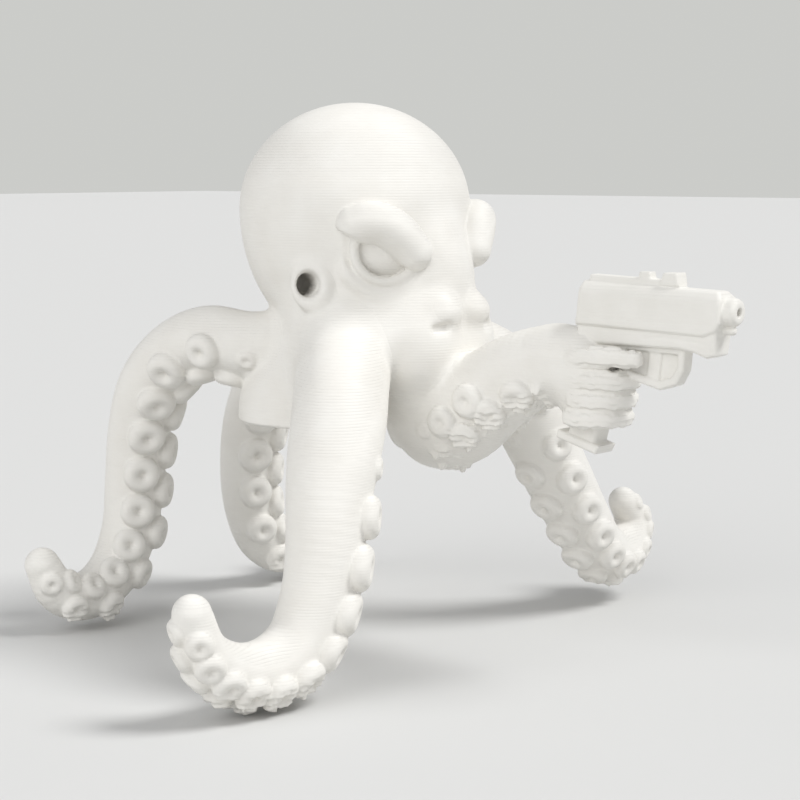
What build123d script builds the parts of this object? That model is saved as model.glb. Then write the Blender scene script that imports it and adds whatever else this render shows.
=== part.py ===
"""An octopus figurine that perches on the top edge of an upright panel and points a toy pistol forward.

Millimetres. Z is up, the figure faces -Y and its own right side is -X. The origin lies on the flat
seat under the mantle, at the middle of the edge that it perches on. The mantle carries everything:
each arm, brow, eye and ring is a piece of its own, cut to the mantle's skin, and the arms hold on
pegs. The suckers are cut to the arms' skin and sit on it.
"""
from build123d import *
import os
from math import cos, radians, sin, sqrt

# The mantle, which is the head and the skirt in one
BODY_HEIGHT = 33.4
HEAD_RADIUS = 12.2
FACE_DEPTH = 13.6
BACK_DEPTH = 11.8
CHEEK_RADIUS = 6.1
CHEEK_ACROSS = 3.4
CHEEK_FORWARD = 9.0
CHEEK_HEIGHT = 9.2

# The edge it perches on, and how far the arms stay clear of it
PERCH_DEPTH = 14.6
PERCH_GAP = 0.3
LIP_HEIGHT = 1.0

# Arms: how far each reaches from the origin, and its radius where it leaves the skirt
ARM_RADIUS = 3.5
RIGHT_REACH = 37.0
RIGHT_FORWARD = 14.0
RIGHT_DROP = 19.6
LEFT_REACH = 36.2
LEFT_FORWARD = 13.2
LEFT_DROP = 18.4
REAR_ACROSS = 10.0
REAR_REACH = 25.2
REAR_DROP = 20.2
GUN_ARM_RADIUS = 4.6
GUN_ARM_REACH = 28.6
GUN_ARM_RISE = 8.0

# Pegs and the play in their holes and between small parts
PEG_RADIUS = 1.6
PEG_DEPTH = 3.0
PEG_PLAY = 0.1
FIT_PLAY = 0.05

# Suckers
SUCKER_RADIUS = 2.0
SUCKER_PITCH = 4.3
SUCKER_ROOT_DEPTH = 0.9
SUCKER_ROW_TURN = 31.0
SUCKER_SEARCH_STEPS = 10
GUN_SUCKER_RADIUS = 1.5
GUN_SUCKER_PITCH = 3.3

# Face
EYE_RADIUS = 3.1
EYE_HEIGHT = 18.0
EYE_TURN = 37.0
EYE_SINK = 1.3
EYELID_RADIUS = 0.45
EYELID_SHIFT = 1.55
BROW_RADIUS = 1.85
NOSE_RADIUS = 2.3
NOSE_HEIGHT = 12.3
NOSE_SINK = 1.4
SIPHON_HEIGHT = 15.0
SIPHON_TURN = 73.0
SIPHON_RADIUS = 1.75
SIPHON_RIM_RADIUS = 0.6
SIPHON_BORE_RADIUS = 1.2
SIPHON_BORE_DEPTH = 4.0

# Hand
PALM_RADIUS = 3.0
FINGER_RADIUS = 0.93
FINGER_PITCH = 1.95
GRIPPING_FINGERS = ("middle_finger", "ring_finger", "little_finger")
INDEX_HEIGHT = 8.5
INDEX_REACH = 5.4
THUMB_RADIUS = 1.0
THUMB_REACH = 4.3

# Toy pistol, before it is tipped: its slide, and what hangs below it
PISTOL_TIP = 2.0
SLIDE_LENGTH = 15.4
SLIDE_HEIGHT = 4.2
SLIDE_WIDTH = 3.6
SLIDE_CHAMFER = 0.6
SLIDE_BASE = 11.7
SLIDE_REAR = 29.4
FRAME_LENGTH = 14.4
FRAME_HEIGHT = 1.9
FRAME_WIDTH = 2.9
FRAME_RAKE = 0.5
FRAME_NOSE_LENGTH = 1.6
FRAME_NOSE_DROP = 0.6
RIB_LENGTH = 10.4
RIB_HEIGHT = 0.6
RIB_WIDTH = 1.5
SIGHT_HEIGHT = 0.6
SIGHT_LENGTHS = (1.2, 1.6)
SIGHT_WIDTHS = (1.2, 1.9)
SIGHT_GAP = 1.9
BARREL_RADIUS = 1.3
BARREL_BORE_RADIUS = 0.42
BARREL_LENGTH = 1.3
BARREL_ROUND = 0.43
BARREL_SEAT = 2.0
BARREL_DROP = 1.85
ROD_RADIUS = 0.33
ROD_WALL = 0.12
ROD_LENGTH = 0.9
ROD_SEAT = 1.2
GUARD_LENGTH = 7.0
GUARD_DROP = 3.6
GUARD_WIDTH = 1.8
GUARD_WALL = 0.55
GUARD_ROUND = 1.0
GUARD_WEB = 0.9
TRIGGER_LENGTH = 0.7
TRIGGER_DROP = 2.2
TRIGGER_AHEAD = 2.6
GRIP_AHEAD = 2.9
GRIP_LENGTH = 3.2
GRIP_WIDTH = 2.6
GRIP_DROP = 9.6
GRIP_LEAN = 13.5
GRIP_ROUND = 0.6
BASE_LENGTH = 4.6
BASE_WIDTH = 3.3
BASE_HEIGHT = 0.7

OVERRUN = 1.0

# The stretch of each arm's centre line that carries suckers, as shares of its length
SUCKER_SPAN_SHARES = {"front": (0.275, 0.97), "rear": (0.20, 0.95), "gun": (0.27, 0.90)}

# Height, half width, front and back of the mantle at each level, as shares of its four sizes
MANTLE_SHARES = (
    (0.00, 0.86, 0.72, 0.84),
    (0.12, 0.92, 0.86, 0.89),
    (0.25, 0.90, 0.97, 0.87),
    (0.37, 0.87, 1.00, 0.82),
    (0.48, 0.92, 0.95, 0.90),
    (0.59, 0.985, 0.91, 1.00),
    (0.69, 1.00, 0.90, 1.03),
    (0.79, 0.93, 0.83, 0.96),
    (0.88, 0.76, 0.68, 0.79),
    (0.95, 0.51, 0.46, 0.53),
    (0.985, 0.28, 0.26, 0.29),
    (0.998, 0.10, 0.09, 0.10),
)

# Across, forward, height and radius along each arm, as shares of that arm's sizes
RIGHT_ARM_SHARES = (
    (0.16, 0.32, 0.38, 1.55),
    (0.31, 0.60, 0.30, 1.50),
    (0.42, 0.80, 0.15, 1.40),
    (0.48, 0.89, -0.01, 1.29),
    (0.50, 0.94, -0.21, 1.12),
    (0.52, 0.99, -0.46, 1.00),
    (0.56, 1.00, -0.70, 0.94),
    (0.64, 0.97, -0.90, 0.87),
    (0.75, 0.93, -1.00, 0.80),
    (0.865, 0.91, -0.975, 0.73),
    (0.96, 0.90, -0.85, 0.66),
    (1.00, 0.90, -0.66, 0.56),
)
LEFT_ARM_SHARES = (
    (0.16, 0.32, 0.38, 1.55),
    (0.31, 0.60, 0.30, 1.50),
    (0.42, 0.80, 0.15, 1.40),
    (0.49, 0.89, -0.01, 1.29),
    (0.53, 0.94, -0.21, 1.12),
    (0.59, 0.98, -0.46, 1.00),
    (0.67, 0.98, -0.70, 0.94),
    (0.76, 0.96, -0.90, 0.87),
    (0.86, 0.94, -1.00, 0.80),
    (0.955, 0.92, -0.93, 0.73),
    (1.00, 0.91, -0.75, 0.66),
    (0.96, 0.90, -0.54, 0.56),
)
REAR_ARM_SHARES = (
    (0.50, 0.12, 0.38, 1.20),
    (0.84, 0.30, 0.39, 1.04),
    (0.98, 0.49, 0.42, 1.00),
    (1.00, 0.69, 0.32, 1.00),
    (0.98, 0.85, 0.13, 1.00),
    (0.93, 0.945, -0.13, 0.97),
    (0.92, 0.98, -0.41, 0.94),
    (0.98, 0.99, -0.67, 0.89),
    (1.20, 1.00, -0.89, 0.83),
    (1.60, 1.00, -1.00, 0.77),
    (2.00, 1.01, -0.95, 0.69),
    (2.20, 1.02, -0.79, 0.60),
)

# The arm that points the pistol stays on the mid plane: forward, height and radius, as shares
GUN_ARM_SHARES = (
    (0.19, 0.38, 1.00),
    (0.33, 0.15, 1.09),
    (0.47, 0.20, 1.04),
    (0.61, 0.48, 0.96),
    (0.75, 0.78, 0.87),
    (0.86, 0.95, 0.76),
    (0.93, 1.02, 0.68),
)

# Brow: turn from straight ahead in degrees, height as a share of the eye's, how far the centre
# line stands off the skin and the radius, as shares of the brow's radius
BROW_SHARES = (
    (51.0, 1.18, 0.22, 0.95),
    (44.0, 1.20, 0.28, 1.00),
    (37.0, 1.185, 0.32, 1.00),
    (30.0, 1.13, 0.32, 1.00),
    (23.0, 1.04, 0.28, 0.92),
)

# Spans from one point of a centre line to the next
LIMB_STEPS = 3

# How far along a round tip its last sections lie, as shares of the tip's radius
TIP_SHARES = (0.45, 0.78, 0.95)

# Outline of a sucker, as shares of its radius: root, bulge, rim and the bottom of its dimple
ROOT_SHARE = 0.80
BULGE_SHARE = 0.34
RIM_RADIUS_SHARE = 0.66
RIM_HEIGHT_SHARE = 0.68
DIMPLE_SHARE = 0.22

# The first suckers of a row are smaller
SUCKER_GROWTH_SHARES = (0.55, 0.75, 0.9)

# How far behind the grip the palm's middle lies and how it tapers down, as shares of its radius
PALM_BACK_SHARE = 0.3
PALM_TAPER_SHARES = (1.0, 0.95, 0.8)

# How tightly a finger turns round the grip, and how the others taper, as shares of their radius
FINGER_CORNER_SHARE = 0.7
INDEX_TAPER_SHARES = (1.05, 1.0, 0.95)
THUMB_TAPER_SHARES = (1.0, 1.0, 0.85)


def mantle_level(height):
    """Half width, front and back of the mantle at a height."""
    share = height / BODY_HEIGHT
    for low, high in zip(MANTLE_SHARES[:-1], MANTLE_SHARES[1:]):
        if share <= high[0]:
            break
    part = (share - low[0]) / (high[0] - low[0])
    blend = [a + (b - a) * part for a, b in zip(low, high)]
    return blend[1] * HEAD_RADIUS, blend[2] * FACE_DEPTH, blend[3] * BACK_DEPTH


def skin_plane(height, turn, side):
    """A plane on the mantle's skin, facing out. turn is degrees from straight ahead; side is -1 or 1."""
    width, front, back = mantle_level(height)
    half_depth = (front + back) / 2
    across = side * sin(radians(turn))
    ahead = cos(radians(turn))
    place = Vector(width * across, (back - front) / 2 - half_depth * ahead, height)
    outward = Vector(across / width, -ahead / half_depth, 0)
    return Plane(origin=place, x_dir=(0, 0, 1), z_dir=outward.normalized())


def carried_planes(points, first_normal):
    """A plane square to a centre line at each point, turned as little as possible from one to the next."""
    planes = []
    normal = first_normal
    for index, point in enumerate(points):
        before = points[max(index - 1, 0)]
        after = points[min(index + 1, len(points) - 1)]
        ahead = (after - before).normalized()
        normal = (normal - ahead * normal.dot(ahead)).normalized()
        planes.append(Plane(origin=point, x_dir=normal, z_dir=ahead))
    return planes


def limb(points, radii, first_normal, round_start=False):
    """A tapering limb along a centre line, with a round tip, made of short straight-sided spans."""
    line = Spline(*points)
    count = LIMB_STEPS * (len(points) - 1)
    middles = [line @ (index / count) for index in range(count + 1)]
    sizes = [radius_near(points, radii, middle) for middle in middles]
    planes = carried_planes(middles, first_normal)
    sections = [plane * Circle(size) for plane, size in zip(planes, sizes)]
    for share in TIP_SHARES:
        shrink = sqrt(1 - share * share)
        sections.append(planes[-1].offset(sizes[-1] * share) * Circle(sizes[-1] * shrink))
        if round_start:
            sections.insert(0, planes[0].offset(-sizes[0] * share) * Circle(sizes[0] * shrink))
    return loft(sections, ruled=True)


def make_mantle():
    levels = []
    for height, width, front, back in MANTLE_SHARES:
        front_size = front * FACE_DEPTH
        back_size = back * BACK_DEPTH
        plane = Plane(origin=(0, (back_size - front_size) / 2, height * BODY_HEIGHT))
        levels.append(plane * Ellipse(width * HEAD_RADIUS, (front_size + back_size) / 2))
    body = loft(levels)
    for side in (-1, 1):
        body = body + Pos(side * CHEEK_ACROSS, -CHEEK_FORWARD, CHEEK_HEIGHT) * Sphere(CHEEK_RADIUS)
    lip = Box(2 * HEAD_RADIUS, FACE_DEPTH, 2 * LIP_HEIGHT)
    return body - Pos(0, -PERCH_DEPTH / 2 - FACE_DEPTH / 2, 0) * lip


def arm_points(shares, across, forward, height):
    return [Vector(across * a, forward * f, height * h) for a, f, h, _ in shares]


def perch_notch():
    """The space of the edge it perches on, with the arms' gap at its front."""
    reach = max(RIGHT_REACH, LEFT_REACH)
    return Pos(0, 0, -RIGHT_DROP / 2) * Box(2 * reach, PERCH_DEPTH + 2 * PERCH_GAP, RIGHT_DROP)


def peg_between(inner, outer, radius):
    """A cylinder from the inner point to the outer one."""
    along = outer - inner
    plane = Plane(origin=inner, z_dir=along.normalized())
    return extrude(plane * Circle(radius), along.length)


def arm_peg(points, play):
    """The peg that holds an arm, along the first span of its centre line."""
    along = (points[1] - points[0]).normalized()
    skin = points[1]
    inner = points[0] - along * (PEG_DEPTH + play)
    return peg_between(inner, skin, PEG_RADIUS + play)


def sucker(radius):
    """One sucker standing up from the origin, with a root that reaches down into the arm."""
    root = radius * ROOT_SHARE
    rim_radius = radius * RIM_RADIUS_SHARE
    rim_height = radius * RIM_HEIGHT_SHARE
    dimple = radius * DIMPLE_SHARE
    outline = (
        Polyline((0, dimple), (0, -SUCKER_ROOT_DEPTH), (root, -SUCKER_ROOT_DEPTH), (root, 0))
        + ThreePointArc((root, 0), (radius, radius * BULGE_SHARE), (rim_radius, rim_height))
        + Line((rim_radius, rim_height), (0, dimple))
    )
    return revolve(Plane.XZ * make_face(outline), Axis.Z)


def sucker_places(points, radii, first_normal, size, pitch, span):
    """Two staggered rows of places, evenly spaced along an arm's sucker side, each with its radius."""
    line = Spline(*points)
    planes = carried_planes(points, first_normal)
    start, stop = span
    steps = int(line.length * SUCKER_SEARCH_STEPS)
    places = []
    walked = 0
    last = None
    for index in range(steps + 1):
        share = start + (stop - start) * index / steps
        here = line @ share
        ahead = line % share
        nearest = min(range(len(points)), key=lambda k: (points[k] - here).length)
        normal = planes[nearest].x_dir
        normal = (normal - ahead * normal.dot(ahead)).normalized()
        arm_radius = radius_near(points, radii, here)
        crest = here + normal * arm_radius
        if last is not None:
            walked = walked + (crest - last).length
        last = crest
        taper = min(1.0, arm_radius / ARM_RADIUS)
        if places and walked < pitch * taper / 2:
            continue
        walked = 0
        row = 1 if len(places) % 2 else -1
        pair = len(places) // 2
        growth = SUCKER_GROWTH_SHARES[pair] if pair < len(SUCKER_GROWTH_SHARES) else 1.0
        outward = normal.rotate(Axis((0, 0, 0), tuple(ahead)), row * SUCKER_ROW_TURN)
        plane = Plane(origin=here + outward * arm_radius, x_dir=tuple(ahead), z_dir=tuple(outward))
        places.append((plane, size * taper * growth))
    return places


def radius_near(points, radii, here):
    """The arm's radius beside a point of its centre line."""
    best = None
    for a, b, first, second in zip(points[:-1], points[1:], radii[:-1], radii[1:]):
        span = b - a
        part = min(1.0, max(0.0, (here - a).dot(span) / span.dot(span)))
        gap = (a + span * part - here).length
        if best is None or gap < best[0]:
            best = (gap, first + (second - first) * part)
    return best[1]


def make_arm(mantle, points, radii, first_normal, places):
    """An arm cut to the mantle, with its peg, and its suckers cut to the arm."""
    whole = limb(points, radii, first_normal)
    arm = whole - mantle - perch_notch() + arm_peg(points, 0)
    suckers = [largest(place * sucker(radius) - whole) for place, radius in places]
    return arm, Compound(children=suckers)


def make_brow(side):
    points = []
    radii = []
    for turn, height_share, proud_share, radius_share in BROW_SHARES:
        plane = skin_plane(EYE_HEIGHT * height_share, turn, side)
        points.append(plane.origin + plane.z_dir * (BROW_RADIUS * proud_share))
        radii.append(BROW_RADIUS * radius_share)
    return limb(points, radii, Vector(0, 0, 1), round_start=True)


def eye_plane(side):
    """Where the eyeball's middle lies, facing out of the head."""
    return skin_plane(EYE_HEIGHT, EYE_TURN, side).offset(-EYE_SINK)


def eyelid_radius():
    """The ring round the eye touches the ball."""
    return sqrt(EYE_RADIUS**2 - EYELID_SHIFT**2) + EYELID_RADIUS


def siphon_plane(side):
    return skin_plane(SIPHON_HEIGHT, SIPHON_TURN, side)


def largest(piece):
    """The main solid of a piece that a cut may have left with loose shavings."""
    return max(piece.solids(), key=lambda solid: solid.volume)


def grip_axis():
    """The grip's centre line runs down and back from the frame."""
    place = (0, -SLIDE_REAR - GRIP_AHEAD, SLIDE_BASE - FRAME_HEIGHT)
    return Plane(origin=place, x_dir=(1, 0, 0), z_dir=(0, sin(radians(GRIP_LEAN)), -cos(radians(GRIP_LEAN))))


def grip_middle(height):
    """How far forward the grip's centre line is at a height."""
    drop = SLIDE_BASE - FRAME_HEIGHT - height
    return -SLIDE_REAR - GRIP_AHEAD + drop * sin(radians(GRIP_LEAN)) / cos(radians(GRIP_LEAN))


def tipped(piece):
    """The pistol points down a little, turned about the foot of its slide's rear end."""
    pivot = Axis((0, -SLIDE_REAR, SLIDE_BASE), (1, 0, 0))
    return piece.rotate(pivot, PISTOL_TIP)


def side_plate(points, width):
    """A plate of a side outline, given as (forward, height), centred on the figure's mid plane."""
    outline = Polyline(*[(forward, height) for forward, height in points], close=True)
    plane = Plane(origin=(0, 0, 0), x_dir=(0, -1, 0), z_dir=(-1, 0, 0))
    return extrude(plane * make_face(outline), width / 2, both=True)


def make_slide():
    side = SLIDE_WIDTH / 2
    top = SLIDE_BASE + SLIDE_HEIGHT
    shoulder = (side, top - SLIDE_CHAMFER)
    right_half = ((0, SLIDE_BASE), (side, SLIDE_BASE), shoulder, (side - SLIDE_CHAMFER, top), (0, top))
    left_half = [(-across, height) for across, height in right_half[-2:0:-1]]
    plane = Plane(origin=(0, -SLIDE_REAR, 0), x_dir=(1, 0, 0), z_dir=(0, -1, 0))
    slide = extrude(plane * make_face(Polyline(*right_half, *left_half, close=True)), SLIDE_LENGTH)
    seat = extrude(muzzle_plane() * Circle(BARREL_RADIUS + FIT_PLAY), -BARREL_SEAT)
    rod_seat = extrude(rod_plane() * Circle(ROD_RADIUS + FIT_PLAY), -ROD_SEAT)
    return slide - seat - rod_seat


def muzzle_plane():
    """The middle of the barrel where it leaves the slide's front face."""
    height = SLIDE_BASE + SLIDE_HEIGHT - BARREL_DROP
    return Plane(origin=(0, -SLIDE_REAR - SLIDE_LENGTH, height), z_dir=(0, -1, 0))


def rod_plane():
    """The guide rod's middle, under the barrel."""
    drop = BARREL_DROP + BARREL_RADIUS + ROD_WALL + ROD_RADIUS + 2 * FIT_PLAY
    height = SLIDE_BASE + SLIDE_HEIGHT - drop
    return Plane(origin=(0, -SLIDE_REAR - SLIDE_LENGTH, height), z_dir=(0, -1, 0))


def make_barrel():
    plane = muzzle_plane()
    whole = extrude(plane.offset(-BARREL_SEAT) * Circle(BARREL_RADIUS), BARREL_SEAT + BARREL_LENGTH)
    whole = fillet(whole.faces().sort_by(Axis.Y)[0].edges(), BARREL_ROUND)
    bore = extrude(plane * Circle(BARREL_BORE_RADIUS), BARREL_LENGTH + OVERRUN)
    return whole - bore


def make_rod():
    return extrude(rod_plane().offset(-ROD_SEAT) * Circle(ROD_RADIUS), ROD_SEAT + ROD_LENGTH)


def make_frame():
    """The flat body under the slide, with a nose that hangs a little lower."""
    low = SLIDE_BASE - FRAME_HEIGHT
    front = SLIDE_REAR + FRAME_LENGTH
    nose = front - FRAME_NOSE_LENGTH
    points = (
        (SLIDE_REAR - FRAME_RAKE, SLIDE_BASE),
        (SLIDE_REAR + FRAME_RAKE, low),
        (nose, low),
        (nose + FRAME_NOSE_DROP, low - FRAME_NOSE_DROP),
        (front - FRAME_NOSE_DROP / 2, low - FRAME_NOSE_DROP),
        (front, low),
        (front, SLIDE_BASE),
    )
    return side_plate(points, FRAME_WIDTH)


def make_rib():
    """A flat strip on the slide with two raised sights."""
    top = SLIDE_BASE + SLIDE_HEIGHT
    sights_length = SIGHT_LENGTHS[0] + SIGHT_GAP + SIGHT_LENGTHS[1]
    strip_middle = SLIDE_REAR + RIB_LENGTH / 2
    rib = Pos(0, -strip_middle, top + RIB_HEIGHT / 2) * Box(RIB_WIDTH, RIB_LENGTH, RIB_HEIGHT)
    middle = SLIDE_REAR + RIB_LENGTH - sights_length + SIGHT_LENGTHS[0] / 2
    sights = []
    for length, width in zip(SIGHT_LENGTHS, SIGHT_WIDTHS):
        block = Box(width, length, SIGHT_HEIGHT)
        sights.append(Pos(0, -middle, top + RIB_HEIGHT + SIGHT_HEIGHT / 2) * block)
        middle = middle + SIGHT_GAP + (SIGHT_LENGTHS[0] + SIGHT_LENGTHS[1]) / 2
    return rib, sights


def guard_front():
    """How far forward the trigger guard ends."""
    return -grip_middle(SLIDE_BASE - FRAME_HEIGHT) + GRIP_LENGTH / 2 + GUARD_LENGTH


def make_guard(grip):
    """The trigger guard: a rounded frame with a thin web in it."""
    low = SLIDE_BASE - FRAME_HEIGHT
    front = guard_front()
    back = front - GUARD_LENGTH
    outline = ((back, low), (front, low), (front, low - GUARD_DROP), (back, low - GUARD_DROP))
    block = side_plate(outline, GUARD_WIDTH)
    corners = block.edges().filter_by(Axis.X).group_by(Axis.Z)[0]
    block = fillet(corners, GUARD_ROUND)
    inner = (
        (back + GUARD_WALL, low - GUARD_WALL),
        (front - GUARD_WALL, low - GUARD_WALL),
        (front - GUARD_WALL, low - GUARD_DROP + GUARD_WALL),
        (back + GUARD_WALL, low - GUARD_DROP + GUARD_WALL),
    )
    recess = side_plate(inner, GUARD_WIDTH + OVERRUN) - side_plate(inner, GUARD_WEB)
    return block - recess - trigger_block(FIT_PLAY) - grip


def trigger_block(play):
    """The trigger, through the guard's web and just under its roof, grown by a play."""
    roof = SLIDE_BASE - FRAME_HEIGHT - GUARD_WALL - 2 * FIT_PLAY
    place = guard_front() - GUARD_LENGTH + TRIGGER_AHEAD
    block = Box(GUARD_WIDTH - 2 * FIT_PLAY + 2 * play, TRIGGER_LENGTH + 2 * play, TRIGGER_DROP + 2 * play)
    return Pos(0, -place, roof - TRIGGER_DROP / 2) * block


def make_grip():
    grip = extrude(grip_axis() * Rectangle(GRIP_WIDTH, GRIP_LENGTH), GRIP_DROP)
    return fillet(grip.edges().filter_by(grip_line()), GRIP_ROUND) - make_frame()


def grip_line():
    """The grip's direction, as an axis."""
    plane = grip_axis()
    return Axis(tuple(plane.origin), tuple(plane.z_dir))


def make_magazine_base():
    plane = grip_axis().offset(GRIP_DROP)
    base = extrude(plane * Rectangle(BASE_WIDTH, BASE_LENGTH), BASE_HEIGHT)
    return fillet(base.edges().filter_by(grip_line()), GRIP_ROUND)


def make_palm():
    """The hand's back and heel, behind the grip, from under the slide down to the last finger."""
    top = INDEX_HEIGHT - FINGER_RADIUS
    low = INDEX_HEIGHT - (len(GRIPPING_FINGERS) - 0.5) * FINGER_PITCH
    back = GRIP_LENGTH / 2 + PALM_RADIUS * PALM_BACK_SHARE
    points = [Vector(0, grip_middle(height) + back, height) for height in (top, (top + low) / 2, low)]
    radii = [PALM_RADIUS * share for share in PALM_TAPER_SHARES]
    return limb(points, radii, Vector(0, 1, 0), round_start=True)


def make_gripping_finger(index):
    """A finger that leaves the hand's right side and wraps round the front of the grip."""
    height = INDEX_HEIGHT - (index + 1) * FINGER_PITCH
    across = GRIP_WIDTH / 2 + FINGER_RADIUS + FIT_PLAY
    middle = grip_middle(height)
    ahead = GRIP_LENGTH / 2 / cos(radians(GRIP_LEAN)) + FINGER_RADIUS + 2 * FIT_PLAY
    corner = FINGER_RADIUS * FINGER_CORNER_SHARE
    points = [
        Vector(-across, middle + GRIP_LENGTH / 2, height),
        Vector(-across - FIT_PLAY, middle - ahead / 3, height),
        Vector(-across + corner, middle - ahead + corner / 2, height),
        Vector(0, middle - ahead - FIT_PLAY, height),
        Vector(across - corner, middle - ahead + corner / 2, height),
        Vector(across + FIT_PLAY, middle - ahead / 3, height),
    ]
    return limb(points, [FINGER_RADIUS] * len(points), Vector(0, 0, 1), round_start=True)


def make_index_finger():
    """The finger that lies along the right side of the trigger guard."""
    across = GRIP_WIDTH / 2 + FINGER_RADIUS + FIT_PLAY
    knuckle = grip_middle(INDEX_HEIGHT) + GRIP_LENGTH / 2
    points = [
        Vector(-across, knuckle, INDEX_HEIGHT),
        Vector(-across - FIT_PLAY, knuckle - INDEX_REACH / 2, INDEX_HEIGHT),
        Vector(-across, knuckle - INDEX_REACH, INDEX_HEIGHT),
    ]
    radii = [FINGER_RADIUS * share for share in INDEX_TAPER_SHARES]
    return limb(points, radii, Vector(0, 0, 1), round_start=True)


def make_thumb():
    """The thumb lies along the left side, under the frame."""
    across = GRIP_WIDTH / 2 + THUMB_RADIUS + FIT_PLAY
    knuckle = grip_middle(INDEX_HEIGHT) + GRIP_LENGTH / 2
    points = [
        Vector(across, knuckle, INDEX_HEIGHT),
        Vector(across + FIT_PLAY, knuckle - THUMB_REACH / 2, INDEX_HEIGHT),
        Vector(across, knuckle - THUMB_REACH, INDEX_HEIGHT),
    ]
    radii = [THUMB_RADIUS * share for share in THUMB_TAPER_SHARES]
    return limb(points, radii, Vector(0, 0, 1), round_start=True)


def siphon_bore(side):
    mouth = siphon_plane(side).offset(OVERRUN) * Circle(SIPHON_BORE_RADIUS)
    return extrude(mouth, -SIPHON_BORE_DEPTH - OVERRUN)


def named_arms():
    """Each arm's centre line, radii, the way its suckers face at its root, and its kind."""
    rear_radii = [ARM_RADIUS * share[3] for share in REAR_ARM_SHARES]
    down = Vector(0, 0, -1)
    arms = {}
    reaches = {
        "right": (-1, RIGHT_REACH, RIGHT_FORWARD, RIGHT_DROP, RIGHT_ARM_SHARES),
        "left": (1, LEFT_REACH, LEFT_FORWARD, LEFT_DROP, LEFT_ARM_SHARES),
    }
    for name, (side, reach, forward, drop, shares) in reaches.items():
        front = arm_points(shares, side * reach, -forward, drop)
        front_radii = [ARM_RADIUS * share[3] for share in shares]
        rear = arm_points(REAR_ARM_SHARES, side * REAR_ACROSS, REAR_REACH, REAR_DROP)
        arms[name + "_front"] = (front, front_radii, Vector(-side, 0, 0), "front")
        arms[name + "_rear"] = (rear, rear_radii, down, "rear")
    gun_points = [Vector(0, -GUN_ARM_REACH * f, GUN_ARM_RISE * h) for f, h, _ in GUN_ARM_SHARES]
    gun_radii = [GUN_ARM_RADIUS * share[2] for share in GUN_ARM_SHARES]
    arms["gun"] = (gun_points, gun_radii, down, "gun")
    return arms


nodes = {}
mantle = make_mantle()

# Arms and their suckers
peg_holes = []
for name, (points, radii, normal, kind) in named_arms().items():
    size, pitch = (GUN_SUCKER_RADIUS, GUN_SUCKER_PITCH) if kind == "gun" else (SUCKER_RADIUS, SUCKER_PITCH)
    places = sucker_places(points, radii, normal, size, pitch, SUCKER_SPAN_SHARES[kind])
    arm, suckers = make_arm(mantle, points, radii, normal, places)
    nodes[name + "_arm"] = arm
    nodes[name + "_suckers"] = suckers
    peg_holes.append(arm_peg(points, PEG_PLAY))

# Face
hollows = []
for side, name in ((-1, "right"), (1, "left")):
    socket = eye_plane(side) * Sphere(EYE_RADIUS + FIT_PLAY)
    eyelid = eye_plane(side).offset(EYELID_SHIFT) * Torus(eyelid_radius(), EYELID_RADIUS)
    brow = make_brow(side) - mantle - socket
    nodes[name + "_brow"] = largest(brow)
    nodes[name + "_eyelid"] = largest(eyelid - mantle - socket - brow)
    nodes[name + "_eyeball"] = eye_plane(side) * Sphere(EYE_RADIUS)
    rim = siphon_plane(side) * Torus(SIPHON_RADIUS, SIPHON_RIM_RADIUS)
    nodes[name + "_siphon_rim"] = largest(rim - mantle)
    hollows.extend((socket, siphon_bore(side)))
nose_plane = skin_plane(NOSE_HEIGHT, 0, 1).offset(-NOSE_SINK)
nodes["nose"] = nose_plane * Sphere(NOSE_RADIUS) - mantle
nodes["mantle"] = mantle - peg_holes - hollows

# Pistol
grip = make_grip()
rib, sights = make_rib()
pistol = {
    "pistol_slide": make_slide(),
    "pistol_barrel": make_barrel(),
    "pistol_guide_rod": make_rod(),
    "pistol_frame": make_frame(),
    "pistol_top_rib": rib,
    "pistol_sights": Compound(children=sights),
    "pistol_trigger_guard": make_guard(grip),
    "pistol_trigger": trigger_block(0),
    "pistol_grip": grip,
    "pistol_magazine_base": make_magazine_base(),
}
for name, piece in pistol.items():
    nodes[name] = tipped(piece)

# Hand, cut by the pistol and by the arm it grows from
held = [nodes[name] for name in pistol if name not in ("pistol_barrel", "pistol_guide_rod")]
points, radii, normal, _ = named_arms()["gun"]
palm = largest(make_palm() - limb(points, radii, normal) - held)
nodes["palm"] = palm
taken = [palm, *held]
fingers = {"index_finger": make_index_finger(), "thumb": make_thumb()}
for index, name in enumerate(GRIPPING_FINGERS):
    fingers[name] = make_gripping_finger(index)
for name, finger in fingers.items():
    nodes[name] = largest(finger - taken)
    taken.append(nodes[name])

os.makedirs("parts", exist_ok=True)
for name, piece in nodes.items():
    export_step(piece, f"parts/{name}.step")
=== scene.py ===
"""The looks of an octopus figurine: a one-colour print in warm white plastic that points a toy pistol.

The soft body is worked out as one distance field in millimetres and meshed piece by piece, so that the
pieces flow into one another and each still stands for its own CAD nodes. The pistol is built from
bevelled plates.
"""

from math import cos, pi, radians, sin

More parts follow.
